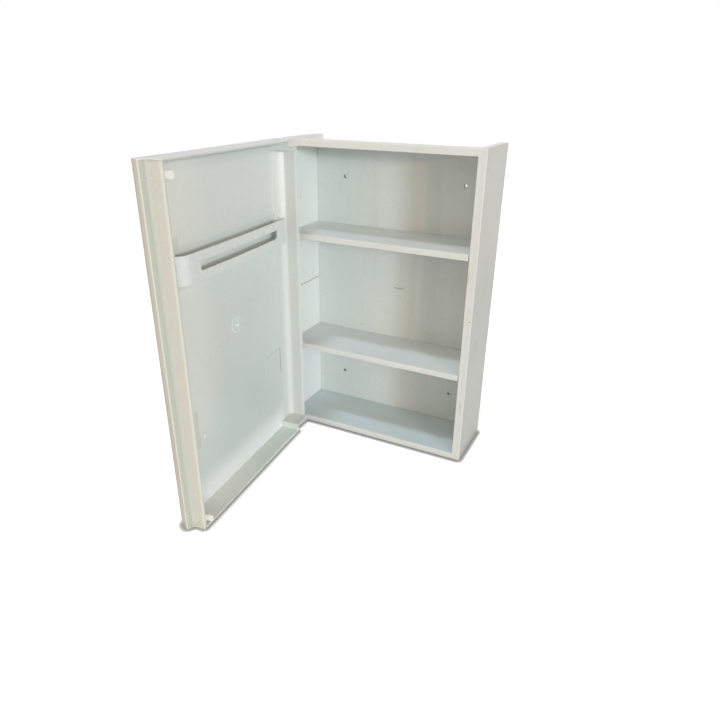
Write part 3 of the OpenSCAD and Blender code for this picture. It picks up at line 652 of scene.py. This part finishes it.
def panel_masks(sheet, place):
    """The inner panel: painted light and shade across it, lighter towards the top, the free side and the
    hinge and in a band above the bottom rim, darker below and under the top rim; its moulded fields;
    darker brown inside the slots; painted shade behind the rack and a painted shadow under it; and a
    painted highlight on the ring round the dish of the mould's inlet."""
    across, back, up = sheet.split(sheet.effect("door")["Place"])
    height = sheet.maths("ABSOLUTE", up)
    upper = sheet.fade(up, 0.0, 170 * MM)
    less_at_hinge = sheet.fade(across, 20 * MM, 130 * MM, 0.35, 1.0)
    less_below = sheet.fade(up, -160 * MM, -50 * MM, 0.4, 1.0)
    less_at_free = sheet.fade(across, 140 * MM, 250 * MM, 0.6, 0.2)
    free = sheet.times(sheet.fade(across, 175 * MM, 250 * MM), less_below)
    near_hinge = sheet.fade(across, 38 * MM, 30 * MM)
    lower_field = sheet.inside(up, -FIELD_ROW[1], -FIELD_ROW[0])
    upper_field = sheet.times(sheet.inside(up, *FIELD_ROW), 0.6)
    field_rows = sheet.maths("ADD", lower_field, upper_field)
    in_slot = sheet.inside(across, SLOT - SLOT_WIDTH / 2, SLOT + SLOT_WIDTH / 2, 0.1 * MM)
    sunk = sheet.fade(back, PANEL_FACE - 0.9 * MM, PANEL_FACE - 0.1 * MM, 1.0, 0.0)
    rack_span = sheet.inside(across, RACK_LOW.x + 5 * MM, RACK_HIGH.x - 6 * MM, 5 * MM)
    shade = sheet.fade(up, RACK_HIGH.z + 8 * MM, RACK_HIGH.z - 7 * MM)
    weaker_below = sheet.fade(up, RACK_LOW.z + 16 * MM, RACK_HIGH.z - 9 * MM, 0.1, 1.0)
    above_rack_foot = sheet.maths("GREATER_THAN", up, RACK_LOW.z)
    shadow_under_rack = sheet.inside(up, RACK_LOW.z - 10.5 * MM, RACK_LOW.z, 2.5 * MM)
    from_dish = sheet.distance(sheet.maths("SUBTRACT", across, DISH[0]),
                               sheet.maths("SUBTRACT", up, DISH[1]))
    return {
        "upper": upper,
        "lower": sheet.times(sheet.fade(up, 0.0, -180 * MM), less_at_hinge),
        "free": free,
        "upper_free": sheet.times(free, upper),
        "beside_hinge": sheet.times(near_hinge, sheet.fade(up, 30 * MM, 150 * MM)),
        # Painted light above the bottom rim
        "wiped": sheet.fade(up, -176 * MM, -214 * MM),
        "shade_under_rim": sheet.times(sheet.fade(up, 204 * MM, 227 * MM), less_at_free),
        "shade_behind_rack": sheet.times(shade, weaker_below, rack_span, above_rack_foot),
        "shadow_under_rack": sheet.times(shadow_under_rack, rack_span),
        "fields": sheet.times(field_rows, sheet.inside(across, *FIELD)),
        "dish_ring_highlight": sheet.inside(from_dish, DISH_RADIUS - 2 * MM, DISH_RADIUS + 0.5 * MM, 0.6 * MM),
        "slots": sheet.times(sheet.inside(height, *SLOT_ROW), in_slot, sunk),
    }


RACK_TONES = {
    # Painted light on the inner walls, painted shade along the front plate's edge at the hinge end
    "inner_walls_light": (1.0, colour(240, 255, 255)),
    "plate_edge_shade": (0.5, colour(160, 165, 158)),
}


def rack_masks(sheet, _):
    """Painted light on the rack's inner walls, and a fine line of painted shade where its front plate's
    edge turns at the hinge end.
    """
    across, back, up = sheet.split(sheet.effect("door")["Place"])
    line_height = sheet.inside(up, RACK_LOW.z + 5 * MM, RACK_HIGH.z - 1.5 * MM, MM)
    between_ends = sheet.inside(across, RACK_LOW.x + RACK_WALL, RACK_HIGH.x - 9 * MM, MM)
    return {
        "inner_walls_light": sheet.times(sheet.fade(back, RACK_INSIDE + MM, RACK_INSIDE), between_ends),
        "plate_edge_shade": sheet.times(sheet.inside(across, *RACK_LINE), line_height),
    }


# The finishes


def door_point(across, back, up):
    """A place on the open door from its place on the closed one."""
    out = across - HINGE_ON_DOOR.x
    over = back - HINGE_ON_DOOR.y
    return (HINGE_PLACE.x + out * math.cos(DOOR_OPEN) + over * math.sin(DOOR_OPEN),
            HINGE_PLACE.y - out * math.sin(DOOR_OPEN) + over * math.cos(DOOR_OPEN), up)


GREY, PALE, WHITE = colour(140, 142, 136), colour(248, 248, 244), colour(255, 255, 252)
TAN, PALE_TAN, CREAM = colour(206, 174, 142), colour(206, 178, 150), colour(222, 200, 170)
SIDE_MARKS = (
    Mark((-0.149, -0.058, 0.140), (90, 62), 6 * MM, 1.0 * MM, 0.8, 0.35, GREY),
    Mark((-0.149, -0.068, 0.122), (90, 75), 7 * MM, 1.3 * MM, 0.9, 0.30, GREY),
    Mark((-0.149, -0.045, -0.150), (90, 40), 4 * MM, 0.8 * MM, 0.9, 0.25, GREY),
    Mark((0.141, -BODY_DEPTH, 0.060), (0, 84), 16 * MM, 2.2 * MM, 0.9, 0.55, TAN),
    Mark((0.146, -BODY_DEPTH, -0.135), (0, 90), 12 * MM, 3.0 * MM, 0.9, 0.35, PALE_TAN),
    Mark((0.060, -BODY_DEPTH, 0.2245), (0, 0), 22 * MM, 3.0 * MM, 0.9, 0.25, CREAM),
)
BACK_MARKS = (
    Mark((0.0545, BACK_FACE_Y, -0.066), (0, 88), 5.5 * MM, 0.8 * MM, 0.8, 0.40, GREY),
    Mark((-0.066, BACK_FACE_Y, -0.074), (0, 4), 8 * MM, 0.7 * MM, 0.8, 0.40, GREY),
    Mark((0.078, BACK_FACE_Y, -0.040), (0, 35), 7 * MM, 1.0 * MM, 0.9, 0.20, GREY),
)
PANEL_MARKS = (
    Mark(door_point(0.240, PANEL_FACE, -0.128), (85, 60), 3.2 * MM, 2.2 * MM, 0.5, 1.0, WHITE),
    Mark(door_point(0.095, PANEL_FACE, -0.060), (95, 70), 14 * MM, 1.2 * MM, 0.9, 0.20, PALE),
)


def make_finishes():
    """All materials of the cabinet, by the name of their finish."""
    return {
        "cabinet": moulded_plastic("cabinet_plastic", (colour(239, 239, 241), colour(236, 237, 236)),
                                   areas=(cabinet_masks, CABINET_TONES), marks=SIDE_MARKS),
        "back": moulded_plastic("back_plastic", (colour(224, 225, 226), colour(223, 224, 221)),
                                scuff=0.6, areas=(back_masks, BACK_TONES), marks=BACK_MARKS),
        "door": moulded_plastic("door_plastic", (colour(230, 232, 230), colour(227, 230, 228)),
                                edge_radius=0.8 * MM, rub_and_highlight=0.55, areas=(frame_masks, FRAME_TONES)),
        "panel": moulded_plastic("panel_plastic", (colour(230, 234, 232), colour(227, 233, 230)),
                                 areas=(panel_masks, PANEL_TONES), marks=PANEL_MARKS),
        "rack": moulded_plastic("rack_plastic", (colour(243, 243, 243), colour(240, 242, 241)),
                                rough=0.27, scuff=0.0, dust_and_shade=0.05, areas=(rack_masks, RACK_TONES)),
        "arm": moulded_plastic("arm_plastic", (colour(235, 234, 232), colour(232, 231, 228))),
        "tongue": moulded_plastic("tongue_plastic", (colour(246, 246, 241), colour(242, 242, 235)),
                                  rough=0.42, scuff=0.2),
        "steel": zinc_steel(),
        "mirror": silvered_glass(),
        "foam": adhesive_foam(),
    }


def zinc_steel():
    """Zinc-plated steel with fine turning marks."""
    material, sheet, shader, place = start_material("zinc_steel", 0.32)
    shader.inputs["Metallic"].default_value = 1.0
    cloud = sheet.effect("mottle", Place=place, Size=300.0)["Mask"]
    # Dust, and painted shade, where surfaces are close together
    dust = sheet.effect("dust_and_shade", Place=place, Reach=1 * MM)["Mask"]
    surface = sheet.blend(cloud, colour(205, 206, 208), colour(178, 179, 184))
    sheet.put(shader.inputs["Base Color"], sheet.blend(dust, surface, colour(96, 92, 86)))
    edges = sheet.effect("edges", Radius=0.15 * MM)
    turning = sheet.noise(sheet.moved(place, scale=(1, 1, 6)), 2600)
    bump = sheet.add("ShaderNodeBump", None, Strength=0.3, Distance=0.05 * MM, Height=turning,
                     Normal=edges["Normal"])
    sheet.put(shader.inputs["Normal"], bump.outputs[0])
    sheet.put(shader.inputs["Roughness"], sheet.fade(cloud, 0.0, 1.0, 0.26, 0.42))
    return material


def silvered_glass():
    """Mirror glass: bright silver, smudges where it is wiped, silver gone dark at the edges."""
    material, sheet, shader, _ = start_material("silvered_glass", 0.03)
    shader.inputs["Metallic"].default_value = 1.0
    door = sheet.effect("door")["Place"]
    across, _, up = sheet.split(door)
    smear = sheet.noise(sheet.moved(door, rotation=(0, 0.5, 0), scale=(1, 1, 3.2)), 16, 4, 0.6)
    smudge = sheet.fade(smear, 0.46, 0.74)
    silver = sheet.blend(smudge, colour(240, 243, 242), colour(229, 233, 231))
    from_side = sheet.maths("MINIMUM", sheet.maths("SUBTRACT", across, MIRROR_LOW.x),
                            sheet.maths("SUBTRACT", MIRROR_HIGH.x, across))
    from_end = sheet.maths("SUBTRACT", MIRROR_HIGH.z, sheet.maths("ABSOLUTE", up))
    spread = sheet.times(sheet.noise(door, 120, 4, 0.7), 5 * MM)
    from_edge = sheet.maths("ADD", sheet.maths("MINIMUM", from_side, from_end), spread)
    gone = sheet.fade(from_edge, 1.8 * MM, 3.2 * MM, 0.75, 0.0)
    sheet.put(shader.inputs["Base Color"], sheet.blend(gone, silver, colour(96, 92, 84)))
    sheet.put(shader.inputs["Roughness"], sheet.fade(smudge, 0.0, 1.0, 0.02, 0.05))
    return material


def adhesive_foam():
    """Dark closed-cell foam tape."""
    material, sheet, shader, place = start_material("adhesive_foam", 0.9)
    cell = sheet.add("ShaderNodeTexVoronoi", None, Vector=place, Scale=1400.0).outputs["Distance"]
    sheet.put(shader.inputs["Base Color"], sheet.blend(cell, colour(74, 74, 77), colour(104, 104, 107)))
    bump = sheet.add("ShaderNodeBump", None, Strength=0.7, Distance=0.3 * MM, Height=cell)
    sheet.put(shader.inputs["Normal"], bump.outputs[0])
    return material


NODE_FINISH = {
    "back_panel": "back", "door_frame": "door", "inner_panel": "panel", "door_rack": "rack",
    "upper_hinge_arm": "arm", "lower_hinge_arm": "arm",
    "upper_catch_tongue": "tongue", "lower_catch_tongue": "tongue",
    "upper_hinge_pin": "steel", "lower_hinge_pin": "steel",
    "shelf_screws": "steel", "corner_screws": "steel", "arm_screws": "steel",
    "mirror_glass": "mirror", "mirror_strips": "foam",
}


def dress_model(finishes):
    """Gives every piece of the model its finish."""
    for name, piece in nodes_of_model.items():
        finish = finishes[NODE_FINISH.get(name, "cabinet")]
        if not piece.material_slots:
            piece.data.materials.append(finish)
        for slot in piece.material_slots:
            slot.material = finish


# Modelled pieces


def start_piece(name):
    """Names the primitive just added, and leaves it in edit mode with nothing selected."""
    piece = bpy.context.object
    piece.name = name
    bpy.ops.object.transform_apply(location=True, rotation=True, scale=True)
    bpy.ops.object.mode_set(mode="EDIT")
    bpy.ops.mesh.select_all(action="DESELECT")
    return piece


def select_faces(piece, chosen):
    """Selects the faces for which the call says so, by their middle and normal."""
    bpy.ops.mesh.select_all(action="DESELECT")
    bpy.ops.mesh.select_mode(type="FACE")
    bpy.ops.object.mode_set(mode="OBJECT")
    for face in piece.data.polygons:
        face.select = chosen(face.center, face.normal)
    bpy.ops.object.mode_set(mode="EDIT")


def give_finish(piece, finish):
    """Makes a finish the only one of a piece."""
    piece.data.materials.clear()
    piece.data.materials.append(finish)


def hang_on_door(piece, finish):
    """Turns a piece that was made on the closed door to its place on the open one."""
    bpy.ops.object.mode_set(mode="OBJECT")
    bpy.ops.object.shade_smooth_by_angle(angle=SMOOTH_BELOW)
    from_hinge = Matrix.Translation(-HINGE_ON_DOOR)
    opened = Matrix.Rotation(-DOOR_OPEN, 4, "Z")
    piece.matrix_world = Matrix.Translation(HINGE_PLACE) @ opened @ from_hinge
    bpy.ops.object.transform_apply(location=True, rotation=True, scale=True)
    give_finish(piece, finish)
    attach(piece, "door")


def add_rack(finish):
    """The rack, modelled again from its solid with smooth curved walls and rounded edges."""
    bpy.ops.object.select_all(action="DESELECT")
    rack = bpy.data.objects.new("rack_moulding", nodes_of_model["door_rack"].data.copy())
    bpy.context.scene.collection.objects.link(rack)
    bpy.context.view_layer.objects.active = rack
    rack.select_set(True)
    bpy.ops.object.mode_set(mode="EDIT")
    bpy.ops.mesh.select_all(action="SELECT")
    bpy.ops.mesh.remove_doubles(threshold=0.002 * MM)
    bpy.ops.mesh.dissolve_limited(angle_limit=math.radians(0.05))
    bpy.ops.mesh.set_normals_from_faces()
    bpy.ops.object.mode_set(mode="OBJECT")
    rounding = rack.modifiers.new("rounding", "BEVEL")
    rounding.width = RACK_EDGE
    rounding.segments = 2
    rounding.limit_method = "ANGLE"
    rounding.angle_limit = math.radians(40)
    bpy.ops.object.modifier_apply(modifier=rounding.name)
    bpy.ops.object.shade_smooth_by_angle(angle=SMOOTH_BELOW)
    even = rack.modifiers.new("even", "WEIGHTED_NORMAL")
    even.keep_sharp = True
    bpy.ops.object.modifier_apply(modifier=even.name)
    give_finish(rack, finish)
    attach(rack, "door")
    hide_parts("door_rack")


def add_mirror(finish):
    """The mirror's glass with its ground edge all round, front and back."""
    bpy.ops.object.select_all(action="DESELECT")
    size = MIRROR_HIGH - MIRROR_LOW
    bpy.ops.mesh.primitive_cube_add(size=1, location=(MIRROR_LOW + MIRROR_HIGH) / 2, scale=size)
    mirror = start_piece("mirror_plate")
    select_faces(mirror, lambda middle, normal: abs(normal.y) > 0.9)
    bpy.ops.mesh.region_to_loop()
    bpy.ops.mesh.bevel(offset=GROUND_SHARE * size.y / 2, segments=2, profile=0.5)
    hang_on_door(mirror, finish)
    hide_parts("mirror_glass")


def add_gate_nub(finish):
    """The glossy nub that the mould's inlet left in the inner panel's dish."""
    bpy.ops.object.select_all(action="DESELECT")
    bpy.ops.mesh.primitive_cylinder_add(
        vertices=32, radius=NUB_RADIUS, depth=NUB_DEPTH, location=(DISH[0], DISH_BOSS + 0.2 * MM, DISH[1]),
        rotation=(-math.pi / 2, 0, 0))
    nub = start_piece("gate_nub")
    for inset, rise in NUB_STEPS:
        select_faces(nub, lambda middle, normal: normal.y > 0.9 and math.dist(
            (middle.x, middle.z), DISH) < 0.1 * MM)
        bpy.ops.mesh.inset(thickness=inset * MM)
        bpy.ops.transform.translate(value=(0, rise * MM, 0))
    hang_on_door(nub, finish)


# Camera, light and floor


def add_camera():
    """Places the camera at the fitted viewpoint."""
    right = Vector((math.cos(VIEW_YAW), math.sin(VIEW_YAW), 0))
    forward = Vector((-math.sin(VIEW_YAW) * math.cos(VIEW_PITCH),
                      math.cos(VIEW_YAW) * math.cos(VIEW_PITCH), -math.sin(VIEW_PITCH)))
    up = right.cross(forward)
    side = math.cos(VIEW_ROLL) * right + math.sin(VIEW_ROLL) * up
    top = -math.sin(VIEW_ROLL) * right + math.cos(VIEW_ROLL) * up
    turn = Matrix((side, top, -forward)).transposed().to_4x4()
    data = bpy.data.cameras.new("camera")
    data.sensor_width = SENSOR_WIDTH
    data.lens = SENSOR_WIDTH * FOCAL_PIXELS / IMAGE_SIZE
    data.clip_end = SIGHT_REACH
    camera = bpy.data.objects.new("camera", data)
    camera.matrix_world = Matrix.Translation(VIEW_PLACE) @ turn
    bpy.context.scene.collection.objects.link(camera)
    bpy.context.scene.camera = camera


# The light that comes from each side: the axis that points there, and its red, green and blue
SURROUND = (
    ("Y", -1.0, (0.81, 0.78, 0.60)),
    ("Y", 1.0, (0.42, 0.40, 0.36)),
    ("X", 1.0, (0.17, 0.08, 0.03)),
    ("X", -1.0, (0.42, 0.40, 0.36)),
    ("Z", 1.0, (0.08, 0.08, 0.08)),
)

# The lamps: name, direction that each shines in, strength, spread in degrees, and tint
LAMPS = (
    ("right_lamp", (-1.46, 1.0, -0.24), 1.355, 9.5, (0.733, 0.924, 1.0)),
    ("front_right_lamp", (-1.07, 1.0, -0.24), 0.37, 2.6, (1.0, 0.71, 0.50)),
    ("high_lamp", (0.06, 0.30, -1.0), 0.88, 7.0, (0.765, 0.86, 1.0)),
)


def add_lamp(name, direction, strength, spread, tint):
    """A soft distant lamp that shines along a direction."""
    data = bpy.data.lights.new(name, "SUN")
    data.energy = strength
    data.angle = math.radians(spread)
    data.color = tint
    lamp = bpy.data.objects.new(name, data)
    lamp.rotation_euler = Vector(direction).to_track_quat("-Z", "Y").to_euler()
    bpy.context.scene.collection.objects.link(lamp)


def add_surround():
    """A surround that is brightest in front, and looks white to the camera and in reflections."""
    world = bpy.data.worlds.new("surround")
    world.use_nodes = True
    bpy.context.scene.world = world
    sheet = Sheet(world.node_tree)
    direction = sheet.add("ShaderNodeTexCoord").outputs["Generated"]
    parts = sheet.add("ShaderNodeSeparateXYZ", None, Vector=direction).outputs
    total = (0, 0, 0)
    for axis, sign, tint in SURROUND:
        share = sheet.maths("MAXIMUM", sheet.times(parts[axis], sign), 0.0)
        more = sheet.add("ShaderNodeVectorMath", {"operation": "MULTIPLY_ADD"})
        sheet.put_in_turn(more, tint, share, total)
        total = more.outputs[0]
    background = sheet.nodes["Background"]
    sheet.put(background.inputs["Color"], total)
    white = sheet.add("ShaderNodeBackground", None, Color=(1, 1, 1, 1), Strength=1.0)
    path = sheet.add("ShaderNodeLightPath").outputs
    seen = sheet.maths("MAXIMUM", path["Is Camera Ray"], path["Is Glossy Ray"])
    seen = sheet.maths("MAXIMUM", seen, path["Is Transmission Ray"])
    mix = sheet.add("ShaderNodeMixShader")
    sheet.put_in_turn(mix, seen, background.outputs[0], white.outputs[0])
    sheet.put(sheet.nodes["World Output"].inputs[0], mix.outputs[0])


# The floor, its shadow where the object stands, and its glow to the camera and in reflections
FLOOR_SIZE = 8
FLOOR_GAP = 0.6 * MM
SHADOW_REACH = 7.5 * MM
SHADOW_TONE = colour(88, 84, 84)
FLOOR_TONE = colour(204, 204, 204)
GLOW = 0.75
REFLECTED_GLOW = 0.8


def add_floor():
    """A pale floor that looks white away from the object and goes dark where the object stands."""
    bpy.ops.object.select_all(action="DESELECT")
    bpy.ops.mesh.primitive_plane_add(size=FLOOR_SIZE, location=(0, 0, cad_box[0][2] - FLOOR_GAP))
    floor = bpy.context.object
    floor.name = "floor"
    bpy.ops.object.transform_apply(location=True)
    material, sheet, shader, _ = start_material("floor_white", 0.9)
    shader.inputs["Specular IOR Level"].default_value = 0.0
    nearby = sheet.add("ShaderNodeAmbientOcclusion", {"samples": 32}, Distance=SHADOW_REACH)
    rim = sheet.fade(nearby.outputs["AO"], 0.85, 1.0, 0.40, 1.0, "LINEAR")
    core = sheet.fade(nearby.outputs["AO"], 0.40, 0.85, 0.45, 1.0, "LINEAR")
    light = sheet.times(rim, core)
    sheet.put(shader.inputs["Base Color"], sheet.blend(light, SHADOW_TONE, FLOOR_TONE))
    path = sheet.add("ShaderNodeLightPath").outputs
    reflected = sheet.times(path["Is Glossy Ray"], REFLECTED_GLOW)
    seen = sheet.maths("MAXIMUM", path["Is Camera Ray"], reflected)
    shader.inputs["Emission Color"].default_value = (1, 1, 1, 1)
    sheet.put(shader.inputs["Emission Strength"], sheet.times(seen, light, GLOW))
    floor.data.materials.append(material)


add_camera()
add_surround()
for lamp in LAMPS:
    add_lamp(*lamp)
add_floor()
finishes = make_finishes()
dress_model(finishes)
add_rack(finishes["rack"])
add_mirror(finishes["mirror"])
add_gate_nub(finishes["rack"])

bpy.context.scene.view_settings.view_transform = "Standard"
